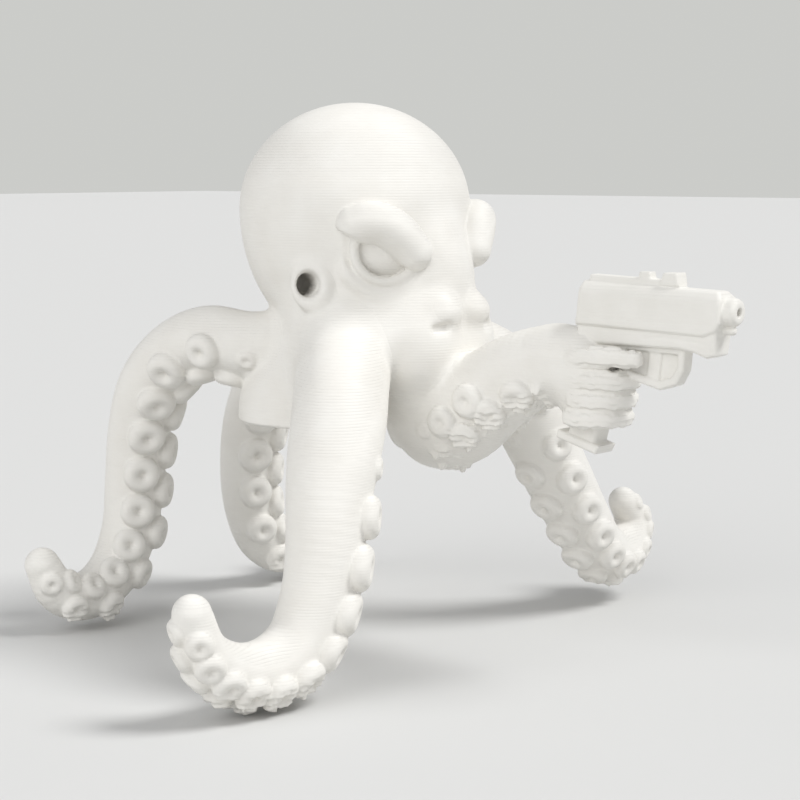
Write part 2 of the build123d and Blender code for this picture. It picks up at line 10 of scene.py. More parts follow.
import bpy
import numpy as np
import openvdb
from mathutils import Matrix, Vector


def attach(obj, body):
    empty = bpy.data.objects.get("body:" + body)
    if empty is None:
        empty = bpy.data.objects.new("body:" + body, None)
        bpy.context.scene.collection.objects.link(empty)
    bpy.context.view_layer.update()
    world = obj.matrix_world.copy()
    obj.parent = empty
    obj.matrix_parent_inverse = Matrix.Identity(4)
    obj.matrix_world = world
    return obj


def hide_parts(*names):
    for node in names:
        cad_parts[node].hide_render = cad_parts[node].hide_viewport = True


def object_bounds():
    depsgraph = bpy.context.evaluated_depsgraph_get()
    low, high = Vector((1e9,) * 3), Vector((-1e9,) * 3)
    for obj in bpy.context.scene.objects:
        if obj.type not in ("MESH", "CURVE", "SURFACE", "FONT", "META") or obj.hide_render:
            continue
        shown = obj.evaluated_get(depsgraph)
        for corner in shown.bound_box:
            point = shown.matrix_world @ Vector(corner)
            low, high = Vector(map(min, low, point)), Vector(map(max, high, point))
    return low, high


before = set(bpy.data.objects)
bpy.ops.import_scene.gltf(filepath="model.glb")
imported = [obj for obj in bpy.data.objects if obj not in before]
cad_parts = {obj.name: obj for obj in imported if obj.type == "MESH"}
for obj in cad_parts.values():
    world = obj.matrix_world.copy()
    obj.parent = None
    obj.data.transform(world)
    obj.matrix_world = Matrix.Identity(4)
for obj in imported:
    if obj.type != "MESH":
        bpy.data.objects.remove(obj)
cad_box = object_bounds()

MM = 0.001

# Meshing: the size of a voxel on the body and on the hand and pistol, in mm
BODY_VOXEL = 0.19
FINE_VOXEL = 0.125
BLOCK_VOXELS = 8
GROUP_BLOCKS = 6
REACH = 6.0
BAND = 0.35
GRID_FAR = 3.0
GRID_LIMIT = 2.9
BLOCK_REACH = 0.9
TONGUE = 0.35
TONGUE_SINK = 0.12
FAR = 50.0
TINY = 1e-9
FINE_BOX = ((-6.0, -48.0, -6.0), (6.0, -8.0, 18.5))

# How softly small forms meet their neighbours
SEAT_ROUNDING = 0.4
NOSTRIL_ROUNDING = 0.6
BAG_BLEND = 1.8
SOCKET_ROUNDING = 0.3
RING_BLEND = 0.35
BROW_BLEND = 0.3
SIPHON_BLEND = 0.9
SIPHON_ROUNDING = 0.5
PALM_BLEND = 2.0
HAND_BLEND = 1.2
FINGER_BLEND = 0.3
SLOT_ROUNDING = 0.15
HELD_BLEND = 0.12
GROOVE_ROUNDING = 0.12

# Head and skirt
HEAD_HEIGHT = 22.3
HEAD_RADIUS = 12.2
HEAD_UP = 11.1
HEAD_DOWN = 15.2
SKIRT = ((0.0, 2.2, 0.5), (12.2, 9.6, 11.5))
SKIRT_BLEND = 3.5
CHEEK = ((-2.8, -10.6, 8.6), (4.6, 4.6, 6.0))
CHEEK_BLEND = 2.5
CLEFT_BLEND = 0.9
BRIDGE = ((0.0, -10.2, 15.2), (4.4, 4.1, 6.0))
BRIDGE_BLEND = 3.0
PERCH_DEPTH = 14.6

# Nose: a lobe on each side, with a nostril under it
NOSE = ((-2.4, -13.6, 12.1), (1.95, 1.9, 1.6))
NOSE_BLEND = 1.1
NOSTRIL = ((-4.6, -14.4, 10.5, 0.3), (-3.4, -14.95, 10.6, 0.42))

# Eyes, brows and siphons, on the figure's right side
EYE_PLACE = (-6.9, -10.0, 18.5)
EYE_OUTWARD = (-0.65, -0.75, -0.11)
EYE_CURVE = 4.6
EYE_PROUD = 0.45
RING_RADIUS = 3.3
RING_THICKNESS = 0.5
SOCKET_DEPTH = 0.4
BAG_RADIUS = 4.5
BAG_THICKNESS = 0.4
BAG_SINK = 0.4
BAG_FADE = 1.5
BAG_SPAN = (-3.0, 0.5)
BROW_EDGE = ((-0.325, 0.357, -0.876), 16.9)
BROW = (
    (-9.6, -8.2, 20.9, 2.0),
    (-8.8, -9.3, 21.2, 2.1),
    (-7.7, -10.3, 20.95, 2.1),
    (-6.35, -11.15, 19.95, 2.1),
    (-4.95, -11.9, 18.2, 1.95),
)
SIPHON_PLACE = (-10.65, -3.15, 14.9)
SIPHON_OUTWARD = (-0.95, -0.3, 0.05)
SIPHON_RADIUS = 1.6
SIPHON_RIM = 0.6
SIPHON_TALL = 1.2
SIPHON_HOLE = ((-7.9, 1.0, 14.7, 0.9), (-12.9, -5.5, 15.0, 1.08))

# Arms: across, forward, height and radius of their centre lines, as shares of each arm's sizes
ARM_RADIUS = 3.5
GUN_ARM_RADIUS = 4.6
RIGHT_SIZES = (-37.0, -14.0, 19.6)
LEFT_SIZES = (36.2, -13.2, 18.4)
RIGHT_REAR_SIZES = (-10.0, 25.2, 20.2)
LEFT_REAR_SIZES = (10.0, 25.2, 20.2)
GUN_SIZES = (0.0, -28.6, 8.0)
RIGHT_ARM_SHARES = (
    (0.16, 0.28, 0.44, 1.40),
    (0.315, 0.58, 0.26, 1.36),
    (0.42, 0.79, 0.115, 1.34),
    (0.485, 0.89, -0.05, 1.29),
    (0.525, 0.94, -0.21, 1.20),
    (0.565, 0.99, -0.44, 1.08),
    (0.60, 1.00, -0.67, 0.98),
    (0.655, 0.97, -0.90, 0.90),
    (0.75, 0.93, -1.00, 0.84),
    (0.865, 0.91, -0.985, 0.76),
    (0.97, 0.90, -0.86, 0.64),
    (1.015, 0.90, -0.66, 0.52),
)
LEFT_ARM_SHARES = (
    (0.17, 0.31, 0.38, 1.45),
    (0.31, 0.59, 0.29, 1.40),
    (0.40, 0.79, 0.14, 1.36),
    (0.445, 0.88, -0.02, 1.26),
    (0.48, 0.94, -0.21, 1.12),
    (0.56, 0.98, -0.46, 1.07),
    (0.66, 0.98, -0.70, 1.01),
    (0.76, 0.96, -0.89, 0.94),
    (0.86, 0.94, -0.98, 0.86),
    (0.96, 0.92, -0.95, 0.74),
    (1.01, 0.91, -0.82, 0.60),
    (0.96, 0.90, -0.68, 0.48),
)
REAR_ARM_SHARES = (
    (0.50, 0.12, 0.38, 1.20),
    (0.84, 0.30, 0.39, 1.04),
    (0.98, 0.49, 0.42, 1.00),
    (1.00, 0.69, 0.32, 1.00),
    (0.98, 0.85, 0.13, 1.00),
    (0.93, 0.945, -0.13, 0.97),
    (0.92, 0.98, -0.41, 0.94),
    (0.98, 0.99, -0.67, 0.89),
    (1.20, 1.00, -0.89, 0.83),
    (1.60, 1.00, -1.00, 0.77),
    (2.00, 1.01, -0.95, 0.67),
    (2.20, 1.02, -0.79, 0.54),
)
GUN_ARM_SHARES = (
    (0.0, 0.36, 0.80, 1.04),
    (0.0, 0.395, 0.14, 1.12),
    (0.0, 0.50, 0.17, 1.08),
    (0.0, 0.615, 0.47, 0.99),
    (0.0, 0.755, 0.775, 0.89),
    (0.0, 0.88, 0.95, 0.78),
    (0.0, 1.00, 1.00, 0.67),
)

# A front arm melts into the head, but meets the cheek in a crease low down on its inner side
FRONT_BLENDS = (0.6, 5.0)
FOLD_HEIGHTS = (5.0, 12.0)
FOLD_LINE = ((-5.9, -4.5), (0.57, -0.82))
FOLD_WIDTH = (-2.0, 4.0)
REAR_BLEND = 0.9
GUN_BLEND = 1.6

# Suckers: radius and pitch on each arm, how far a row is turned from the middle of the sucker side,
# and by how much that side is twisted at some shares of the arm's length
SUCKER_SIZES = {
    "right_front": (2.35, 4.4, 37.0),
    "left_front": (1.9, 4.5, 32.0),
    "right_rear": (2.15, 4.45, 32.0),
    "left_rear": (2.15, 4.45, 32.0),
}
TWIST_SHARES = (0.15, 0.25, 0.36, 0.8)
SUCKER_TWISTS = {
    "right_front": (-5.0, -5.0, -5.0, -5.0),
    "left_front": (6.0, 6.0, 4.0, 0.0),
    "right_rear": (15.0, 0.0, -30.0, -20.0),
    "left_rear": (-15.0, 0.0, 30.0, 20.0),
    "gun": (0.0, 0.0, 0.0, 0.0),
}
SUCKER_SINK = 0.45
GUN_SUCKER_RADIUS = 1.75
GUN_SUCKER_PITCH = 3.5
GUN_SUCKER_TURNS = (52.0, 82.0)
SUCKER_GROWTH_SHARES = (0.5, 0.92, 1.0)
FRONT_SPAN = (0.235, 0.985)
REAR_SPAN = (0.05, 0.97)
GUN_SPANS = ((0.30, 0.76), (0.27, 0.64))
GUN_DIMPLE_SHARE = 0.5
GUN_DIMPLE_BLEND = 0.5
SUCKER_BLEND = 0.3
SUCKER_RING_SHARE = 0.54
SUCKER_TUBE_SHARE = 0.46
SUCKER_RISE_SHARE = 0.26
STALK_SHARE = 0.62
STALK_TALL_SHARE = 0.36
STALK_BLEND = 0.3

# Scars that the print's supports left: thick steps, and curtains under the arm that points the pistol
SCAR_STEP = 0.62
SCAR_RAGGED = 0.17
SCAR_HEIGHTS = (-19.0, -22.6)
SCAR_DEPTHS = (2.0, 3.6)
HAND_SCARS = 0.6
CURTAIN_SHARES = (-0.8, -0.52, -0.26, 0.0, 0.26, 0.52, 0.8)
CURTAIN_HALF = 0.26
CURTAIN_NOTCHES = ((0.32, 2.3, 1.9), (0.2, 5.9, 1.0))
CURTAIN_SWAY = (0.12, 3.1)
CURTAIN_SLOPE = 0.7
CURTAIN_DROP = 0.7
CURTAIN_SPAN = (13.5, 26.0)

# Hand
PALM = ((0.0, -29.8, 5.6), (2.8, 3.4, 4.3))
WRIST = ((0.0, -26.5, 7.8, 3.3), (0.0, -29.6, 7.2, 3.0))
FINGER_HEIGHTS = {"middle_finger": 6.4, "ring_finger": 4.5, "little_finger": 2.7}
FINGER_SHAPE = (
    (-2.3, -1.0, 1.12),
    (-2.5, 0.9, 1.06),
    (-1.7, 2.4, 1.0),
    (0.0, 2.8, 0.97),
    (1.6, 2.4, 0.94),
    (2.4, 0.8, 0.9),
)
INDEX_FINGER = ((-2.3, -30.0, 8.4, 1.2), (-2.5, -33.4, 8.7, 1.0), (-2.1, -36.3, 8.6, 0.88))
THUMB = ((2.2, -29.8, 8.0, 1.25), (2.5, -32.4, 8.6, 1.1), (2.1, -34.4, 8.8, 0.95))
FINGER_SLOTS = (
    ((-3.5, -32.6, 7.55, 0.24), (-2.4, -35.4, 7.55, 0.24)),
    ((-3.7, -31.8, 5.5, 0.2), (-3.2, -33.6, 5.45, 0.2)),
)

# Toy pistol before it is tipped, as (forward, height) outlines with a half width and a rounding
PISTOL_TIP = radians(2.0)
PISTOL_FOOT = (29.4, 11.7)
GRIP_TOP = (32.3, 9.8)
GRIP_SLOPE = 0.24
PLATES = {
    "pistol_slide": (
        ((29.2, 11.6), (29.5, 15.9), (44.4, 15.9), (45.0, 15.2), (45.1, 13.0), (44.6, 12.1), (43.4, 11.6)),
        1.8, 0.4,
    ),
    "pistol_frame": (
        ((28.9, 12.2), (29.9, 9.8), (40.8, 10.2), (42.4, 10.0), (43.7, 9.6), (44.5, 9.9), (44.7, 12.2)),
        1.5, 0.35,
    ),
    "pistol_top_rib": (((30.0, 15.4), (30.1, 16.5), (39.9, 16.5), (40.0, 15.4)), 0.75, 0.18),
    "pistol_magazine_base": (((27.6, 1.15), (27.4, 0.3), (32.1, -0.85), (32.5, 0.0)), 1.65, 0.3),
    "pistol_grip": (((30.7, 10.2), (28.5, 0.7), (31.7, 0.0), (33.9, 9.9)), 1.3, 0.5),
    "pistol_trigger": (((37.1, 10.2), (36.9, 6.9), (38.3, 6.8), (38.6, 10.2)), 0.72, 0.2),
}
SIGHTS = (
    (((35.4, 16.0), (35.55, 17.1), (36.75, 17.15), (36.95, 16.0)), 0.6, 0.18),
    (((38.0, 16.0), (38.35, 17.2), (39.85, 17.25), (40.1, 16.0)), 0.95, 0.2),
)
GUARD = ((33.7, 10.2), (33.8, 7.4), (34.6, 6.9), (38.5, 6.05), (40.3, 6.7), (41.0, 8.1), (41.1, 10.2))
GUARD_HOLLOW = ((34.7, 9.6), (34.7, 7.7), (38.3, 6.95), (39.7, 7.4), (40.3, 8.4), (40.3, 9.6))
GUARD_HALF = 0.9
GUARD_WEB_HALF = 0.42
BARREL = (14.0, 1.32, 42.5, 46.2, 0.5)
BORE = (14.0, 0.42, 45.0, 47.0, 0.05)
GUIDE_ROD = (12.25, 0.42, 43.0, 45.9, 0.3)
SLIDE_CHAMFER = 0.9
CHAMFER_SLOPE = 0.707
CHAMFER_ROUNDING = 0.3
GUARD_ROUNDING = 0.3
HOLLOW_ROUNDING = 0.25
RAIL_GROOVE = ((1.6, 36.8, 10.9, 0.16), (1.6, 39.5, 11.15, 0.2), (1.6, 43.6, 10.9, 0.16))
SLIDE_STEP = ((1.95, 29.0, 12.35, 0.16), (1.95, 44.9, 12.75, 0.16))
PISTOL_BLEND = 0.22


def smin(a, b, k):
    """The lower of two fields, rounded where they are within k of each other."""
    h = np.maximum(k - np.abs(a - b), 0.0) / k
    return np.minimum(a, b) - h * h * k * 0.25


def smax(a, b, k):
    return -smin(-a, -b, k)


def ball(points, centre, radius):
    return np.linalg.norm(points - np.array(centre), axis=1) - radius


def egg(points, centre, radii):
    radii = np.array(radii)
    q = points - np.array(centre)
    near = np.linalg.norm(q / radii, axis=1)
    slope = np.linalg.norm(q / (radii * radii), axis=1)
    return near * (near - 1.0) / np.maximum(slope, TINY)


def torus(points, centre, axis, big, small):
    axis = np.array(axis) / np.linalg.norm(axis)
    q = points - np.array(centre)
    height = q @ axis
    across = np.linalg.norm(q - height[:, None] * axis, axis=1)
    return np.hypot(across - big, height) - small


def smooth_line(rows, steps):
    """Rows of (x, y, z, radius) with a smooth curve run through them."""
    p = np.array(rows, float)
    p = np.vstack([2 * p[0] - p[1], p, 2 * p[-1] - p[-2]])
    out = []
    for a, b, c, d in zip(p[:-3], p[1:-2], p[2:-1], p[3:]):
        for t in np.arange(steps) / steps:
            bend = (2 * a - 5 * b + 4 * c - d) * t**2 + (3 * b - a - 3 * c + d) * t**3
            out.append(0.5 * (2 * b + (c - a) * t + bend))
    out.append(p[-2])
    return np.array(out)


def strand(points, rows, steps=5):
    """A limb of changing radius along a smooth line."""
    line = smooth_line(rows, steps)
    low = points.min(0) - REACH
    high = points.max(0) + REACH
    best = np.full(len(points), FAR)
    for a, b in zip(line[:-1], line[1:]):
        thick = max(a[3], b[3])
        if (np.maximum(a[:3], b[:3]) + thick < low).any() or (np.minimum(a[:3], b[:3]) - thick > high).any():
            continue
        along = b[:3] - a[:3]
        q = points - a[:3]
        t = np.clip(q @ along / (along @ along), 0, 1)
        d = np.linalg.norm(q - t[:, None] * along, axis=1) - (a[3] + t * (b[3] - a[3]))
        best = np.minimum(best, d)
    return best


def sized(shares, sizes, radius):
    """An arm's centre line in millimetres, as rows of (x, y, z, radius)."""
    across, forward, height = sizes
    return [(x * across, y * forward, z * height, r * radius) for x, y, z, r in shares]


ARMS = {
    "right_front": sized(RIGHT_ARM_SHARES, RIGHT_SIZES, ARM_RADIUS),
    "left_front": sized(LEFT_ARM_SHARES, LEFT_SIZES, ARM_RADIUS),
    "right_rear": sized(REAR_ARM_SHARES, RIGHT_REAR_SIZES, ARM_RADIUS),
    "left_rear": sized(REAR_ARM_SHARES, LEFT_REAR_SIZES, ARM_RADIUS),
    "gun": sized(GUN_ARM_SHARES, GUN_SIZES, GUN_ARM_RADIUS),
}
SUCKER_SIDES = {
    "right_front": (1, 0, 0),
    "left_front": (-1, 0, 0),
    "right_rear": (-0.47, 0, -0.88),
    "left_rear": (0.47, 0, -0.88),
    "gun": (0, 0, -1),
}


def turned(vector, axis, angle):
    """vector turned about a unit axis."""
    kept = axis * (axis @ vector) * (1 - cos(angle))
    return vector * cos(angle) + np.cross(axis, vector) * sin(angle) + kept


def sucker_places(rows, side, radius, pitch, turn, span, twists):
    """Two staggered rows of suckers along a limb, as (place, outward, radius)."""
    line = smooth_line(rows, 40)
    last = len(line) - 1
    normal = np.array(side, float)
    walked = 0.0
    crest = None
    places = []
    for index in range(last):
        ahead = line[index + 1][:3] - line[index][:3]
        ahead /= np.linalg.norm(ahead)
        normal = normal - ahead * (normal @ ahead)
        normal /= np.linalg.norm(normal)
        share = index / last
        if share < span[0] or share > span[1]:
            continue
        here = line[index]
        top = here[:3] + normal * here[3]
        if crest is not None:
            walked += np.linalg.norm(top - crest)
        crest = top
        taper = min(1.0, here[3] / ARM_RADIUS)
        if places and walked < pitch * taper / 2:
            continue
        walked = 0.0
        row = 1 if len(places) % 2 else -1
        pair = len(places) // 2
        growth = SUCKER_GROWTH_SHARES[pair] if pair < len(SUCKER_GROWTH_SHARES) else 1.0
        twist = np.interp(share, TWIST_SHARES, twists)
        outward = turned(normal, ahead, radians(row * turn + twist))
        places.append((here[:3] + outward * (here[3] - SUCKER_SINK), outward, radius * taper * growth))
    return places


def every_sucker():
    """The places of each arm's suckers. The arm that points the pistol has two pairs of rows."""
    places = {}
    for name, rows in ARMS.items():
        side = SUCKER_SIDES[name]
        twists = SUCKER_TWISTS[name]
        if name == "gun":
            places[name] = []
            for turn, span in zip(GUN_SUCKER_TURNS, GUN_SPANS):
                sizes = (GUN_SUCKER_RADIUS, GUN_SUCKER_PITCH, turn)
                row = sucker_places(rows, side, *sizes, span, twists)
                places[name].extend(row)
        else:
            span = FRONT_SPAN if name.endswith("front") else REAR_SPAN
            sizes = SUCKER_SIZES[name]
            places[name] = sucker_places(rows, side, *sizes, span, twists)
    return places


SUCKERS = every_sucker()


def sucker(points, place, outward, radius):
    """A plump ring with a dimple, on a short stalk."""
    q = points - place
    height = q @ outward
    across = np.linalg.norm(q - height[:, None] * outward, axis=1)
    ring = np.hypot(across - radius * SUCKER_RING_SHARE, height - radius * SUCKER_RISE_SHARE)
    ring = ring - radius * SUCKER_TUBE_SHARE
    stalk = np.maximum(across - radius * STALK_SHARE, np.abs(height) - radius * STALK_TALL_SHARE)
    return smin(ring, stalk, STALK_BLEND)


def sucker_row(points, places):
    """All the suckers in places, each worked out only near itself."""
    best = np.full(len(points), FAR)
    low = points.min(0) - 3
    high = points.max(0) + 3
    for place, outward, radius in places:
        if (place < low).any() or (place > high).any():
            continue
        near = np.linalg.norm(points - place, axis=1) < radius + 3
        if near.any():
            best[near] = np.minimum(best[near], sucker(points[near], place, outward, radius))
    return best


def on_side(points, side):
    """Points as the figure's right half sees them; side is -1 for the right, 1 for the left."""
    q = points.copy()
    q[:, 0] = q[:, 0] * -side
    return q


def head(points):
    """An egg that is taller below its widest height than above it."""
    up = np.where(points[:, 2] > HEAD_HEIGHT, HEAD_UP, HEAD_DOWN)
    radii = np.stack([np.full(len(points), HEAD_RADIUS)] * 2 + [up], 1)
    return egg(points, (0, 0, HEAD_HEIGHT), radii)


def mirrored(points):
    """Points folded onto the figure's right side."""
    folded = points.copy()
    folded[:, 0] = -np.abs(folded[:, 0])
    return folded


def both_sides(points, shape, *sizes):
    """A shape on the right side and its mirror image, rounded where they meet."""
    other = points * np.array((-1, 1, 1))
    return smin(shape(points, *sizes), shape(other, *sizes), CLEFT_BLEND)


def mantle(points):
    """Head, skirt, bridge of the nose and cheeks, flat underneath behind the slot's middle."""
    body = smin(head(points), egg(points, *SKIRT), SKIRT_BLEND)
    body = smin(body, egg(points, *BRIDGE), BRIDGE_BLEND)
    body = np.where(points[:, 1] > 0, smax(body, -points[:, 2], SEAT_ROUNDING), body)
    return smin(body, both_sides(points, egg, *CHEEK), CHEEK_BLEND)


def ripple(points):
    """An uneven wave over the plan, between about -1 and 1."""
    x, y = points[:, 0], points[:, 1]
    return 0.5 * np.sin(3.1 * x + 1.3 + np.sin(2.7 * y)) + 0.5 * np.sin(3.3 * y + 0.7 + np.sin(4.9 * x))


def stepped(points, amount):
    """Points drawn to the middles of thick ragged layers. amount is from 0 to 1, one for each point."""
    shift = SCAR_RAGGED * ripple(points)
    level = (np.floor((points[:, 2] + shift) / SCAR_STEP) + 0.5) * SCAR_STEP - shift
    moved = points.copy()
    moved[:, 2] = moved[:, 2] + amount * (level - moved[:, 2])
    return moved


def fade(values, start, stop):
    """Rises from 0 at start to 1 at stop, with soft ends."""
    share = np.clip((values - start) / (stop - start), 0, 1)
    return share * share * (3 - 2 * share)


def gun_arm_level(points):
    """Height and radius of the arm that points the pistol, above or below each point."""
    line = np.array(ARMS["gun"])
    forward = -points[:, 1]
    heights = np.interp(forward, -line[:, 1], line[:, 2])
    return heights, np.interp(forward, -line[:, 1], line[:, 3])


def curtains(points):
    """Ragged edges that hang under the arm that points the pistol."""
    forward = -points[:, 1]
    middle, radius = gun_arm_level(points)
    ends = np.maximum(CURTAIN_SPAN[0] - forward, forward - CURTAIN_SPAN[1])
    sway, waves = CURTAIN_SWAY
    best = np.full(len(points), FAR)
    for index, share in enumerate(CURTAIN_SHARES):
        across = share * radius
        notches = sum(deep * np.sin(k * forward + shift * index) for deep, k, shift in CURTAIN_NOTCHES)
        low = middle - np.sqrt(np.maximum(radius**2 - across**2, 0)) - CURTAIN_DROP - notches
        sheet = np.abs(points[:, 0] - across - sway * np.sin(waves * forward + index)) - CURTAIN_HALF
        hung = np.maximum(np.maximum(low - points[:, 2], points[:, 2] - middle), ends)
        best = np.minimum(best, np.maximum(sheet, hung * CURTAIN_SLOPE))
    return best


def fingers(points):
    """Three fingers wrapped round the grip, the index finger along the frame, and the thumb."""
    made = {}
    for name, height in FINGER_HEIGHTS.items():
        middle = GRIP_TOP[0] - (GRIP_TOP[1] - height) * GRIP_SLOPE
        made[name] = strand(points, [(x, -middle - ahead, height, r) for x, ahead, r in FINGER_SHAPE])
    made["index_finger"] = strand(points, INDEX_FINGER)
    made["thumb"] = strand(points, THUMB)
    return made


def outline_field(places, corners):
    """Distance to a flat outline, negative inside."""
    corners = np.array(corners)
    best = np.full(len(places), FAR)
    inside = np.zeros(len(places), bool)
    for a, b in zip(corners, np.roll(corners, -1, axis=0)):
        side = b - a
        q = places - a
        t = np.clip(q @ side / (side @ side), 0, 1)
        best = np.minimum(best, np.linalg.norm(q - t[:, None] * side, axis=1))
        if a[1] != b[1]:
            crossed = (a[1] > places[:, 1]) != (b[1] > places[:, 1])
            inside ^= crossed & (places[:, 0] < a[0] + (places[:, 1] - a[1]) * side[0] / side[1])
    return np.where(inside, -best, best)


def rounded(first, second, rounding):
    """Where two fields are both inside, with a rounded edge between them."""
    first = first + rounding
    second = second + rounding
    outside = np.hypot(np.maximum(first, 0), np.maximum(second, 0))
    return outside + np.minimum(np.maximum(first, second), 0) - rounding


def plate(places, corners, half, rounding):
    """A plate across the figure. places are (across, forward, height)."""
    return rounded(outline_field(places[:, 1:], corners), np.abs(places[:, 0]) - half, rounding)


def pin(places, height, radius, start, stop, rounding):
    """A round bar that points forward."""
    across = np.hypot(places[:, 0], places[:, 2] - height) - radius
    along = np.abs(places[:, 1] - (start + stop) / 2) - (stop - start) / 2
    return rounded(across, along, rounding)


def untipped(points):
    """Points as (across, forward, height), as they lie before the pistol is tipped."""
    forward = -points[:, 1] - PISTOL_FOOT[0]
    height = points[:, 2] - PISTOL_FOOT[1]
    turned_forward = PISTOL_FOOT[0] + forward * cos(PISTOL_TIP) - height * sin(PISTOL_TIP)
    turned_height = PISTOL_FOOT[1] + forward * sin(PISTOL_TIP) + height * cos(PISTOL_TIP)
    return np.stack([points[:, 0], turned_forward, turned_height], 1)


def pistol(points):
    """The pistol's pieces and the whole of it."""
    q = untipped(points)
    made = {name: plate(q, *sizes) for name, sizes in PLATES.items()}
    top = PLATES["pistol_slide"][0][1][1]
    edge = np.abs(q[:, 0]) + q[:, 2] - PLATES["pistol_slide"][1] - top + SLIDE_CHAMFER
    made["pistol_slide"] = smax(made["pistol_slide"], edge * CHAMFER_SLOPE, CHAMFER_ROUNDING)
    made["pistol_sights"] = np.minimum(plate(q, *SIGHTS[0]), plate(q, *SIGHTS[1]))
    hollow = np.maximum(outline_field(q[:, 1:], GUARD_HOLLOW), GUARD_WEB_HALF - np.abs(q[:, 0]))
    guard = plate(q, GUARD, GUARD_HALF, GUARD_ROUNDING)
    made["pistol_trigger_guard"] = smax(guard, -hollow, HOLLOW_ROUNDING)
    made["pistol_barrel"] = pin(q, *BARREL)
    made["pistol_guide_rod"] = pin(q, *GUIDE_ROD)
    whole = np.full(len(points), FAR)
    for field in made.values():
        whole = smin(whole, field, PISTOL_BLEND)
    sides = q.copy()
    sides[:, 0] = np.abs(sides[:, 0])
    for groove in (RAIL_GROOVE, SLIDE_STEP):
        whole = smax(whole, -strand(sides, groove), GROOVE_ROUNDING)
    return smax(whole, -pin(q, *BORE), GROOVE_ROUNDING), made


def eye(points, own, name, whole):
    """The soft bag under the eye, the pocket, the ball, the ring and the brow."""
    outward = np.array(EYE_OUTWARD) / np.linalg.norm(EYE_OUTWARD)
    place = np.array(EYE_PLACE)
    bag = torus(points, place - outward * BAG_SINK, outward, BAG_RADIUS, BAG_THICKNESS)
    bag = bag + BAG_FADE * fade(points[:, 2] - place[2], *BAG_SPAN)
    whole = smin(whole, bag, BAG_BLEND)
    height = (points - place) @ outward
    across = np.linalg.norm(points - place - height[:, None] * outward, axis=1)
    pocket = np.maximum(across - RING_RADIUS, -height - SOCKET_DEPTH)
    whole = smax(whole, -pocket, SOCKET_ROUNDING)
    own[name + "_eyeball"] = ball(points, place - outward * (EYE_CURVE - EYE_PROUD), EYE_CURVE)
    whole = np.minimum(whole, own[name + "_eyeball"])
    own[name + "_eyelid"] = torus(points, place, outward, RING_RADIUS, RING_THICKNESS)
    whole = smin(whole, own[name + "_eyelid"], RING_BLEND)
    under = points @ np.array(BROW_EDGE[0]) + BROW_EDGE[1]
    own[name + "_brow"] = smax(strand(points, BROW), under, BROW_BLEND)
    return smin(whole, own[name + "_brow"], BROW_BLEND)


def siphon(points, own, name, whole):
    """The dark hole on the side of the head and its soft rim."""
    q = points.copy()
    q[:, 2] = SIPHON_PLACE[2] + (q[:, 2] - SIPHON_PLACE[2]) / SIPHON_TALL
    own[name + "_siphon_rim"] = torus(q, SIPHON_PLACE, SIPHON_OUTWARD, SIPHON_RADIUS, SIPHON_RIM)
    whole = smin(whole, own[name + "_siphon_rim"], SIPHON_BLEND)
    return smax(whole, -strand(q, SIPHON_HOLE), SIPHON_ROUNDING)


def fields(points):
    """The whole figure's field and each piece's own, before blending."""
    own = {"mantle": mantle(points), "nose": both_sides(points, egg, *NOSE)}
    whole = smin(own["mantle"], own["nose"], NOSE_BLEND)
    whole = smax(whole, -strand(mirrored(points), NOSTRIL), NOSTRIL_ROUNDING)
    for name, rows in ARMS.items():
        own[name + "_arm"] = strand(points, rows)
    low, high = FRONT_BLENDS
    inward = (mirrored(points)[:, :2] - np.array(FOLD_LINE[0])) @ np.array(FOLD_LINE[1])
    soft = np.maximum(fade(points[:, 2], *FOLD_HEIGHTS), 1 - fade(inward, *FOLD_WIDTH))
    front_blend = low + (high - low) * soft
    whole = smin(whole, own["gun_arm"], GUN_BLEND)
    whole = smin(whole, np.minimum(own["right_front_arm"], own["left_front_arm"]), front_blend)
    whole = smin(whole, np.minimum(own["right_rear_arm"], own["left_rear_arm"]), REAR_BLEND)
    slot = np.maximum(np.abs(points[:, 1]) - PERCH_DEPTH / 2, points[:, 2])
    whole = np.maximum(whole, -slot)
    for side, name in ((-1, "right"), (1, "left")):
        q = on_side(points, side)
        whole = eye(q, own, name, whole)
        whole = siphon(q, own, name, whole)
    scarred = stepped(points, fade(points[:, 2], *SCAR_HEIGHTS))
    for name, places in SUCKERS.items():
        if name != "gun":
            own[name + "_suckers"] = sucker_row(scarred, places)
            whole = smin(whole, own[name + "_suckers"], SUCKER_BLEND)
    middle, _ = gun_arm_level(points)
    scarred = stepped(points, fade(middle - points[:, 2], *SCAR_DEPTHS))
    own["gun_suckers"] = sucker_row(scarred, SUCKERS["gun"])
    for place, outward, radius in SUCKERS["gun"]:
        filling = ball(scarred, place, radius * GUN_DIMPLE_SHARE)
        own["gun_suckers"] = smin(own["gun_suckers"], filling, GUN_DIMPLE_BLEND)
    own["gun_suckers"] = np.minimum(own["gun_suckers"], curtains(points))
    whole = smin(whole, own["gun_suckers"], SUCKER_BLEND)
    own["palm"] = smin(strand(points, WRIST), egg(points, *PALM), PALM_BLEND)
    whole = smin(whole, own["palm"], HAND_BLEND)
    scarred = stepped(points, np.full(len(points), HAND_SCARS))
    for name, finger in fingers(scarred).items():
        own[name] = finger
        whole = smin(whole, finger, FINGER_BLEND)
    for slot in FINGER_SLOTS:
        whole = smax(whole, -strand(points, slot), SLOT_ROUNDING)
    held, pieces = pistol(points)
    own.update(pieces)
    return smin(whole, held, HELD_BLEND), own


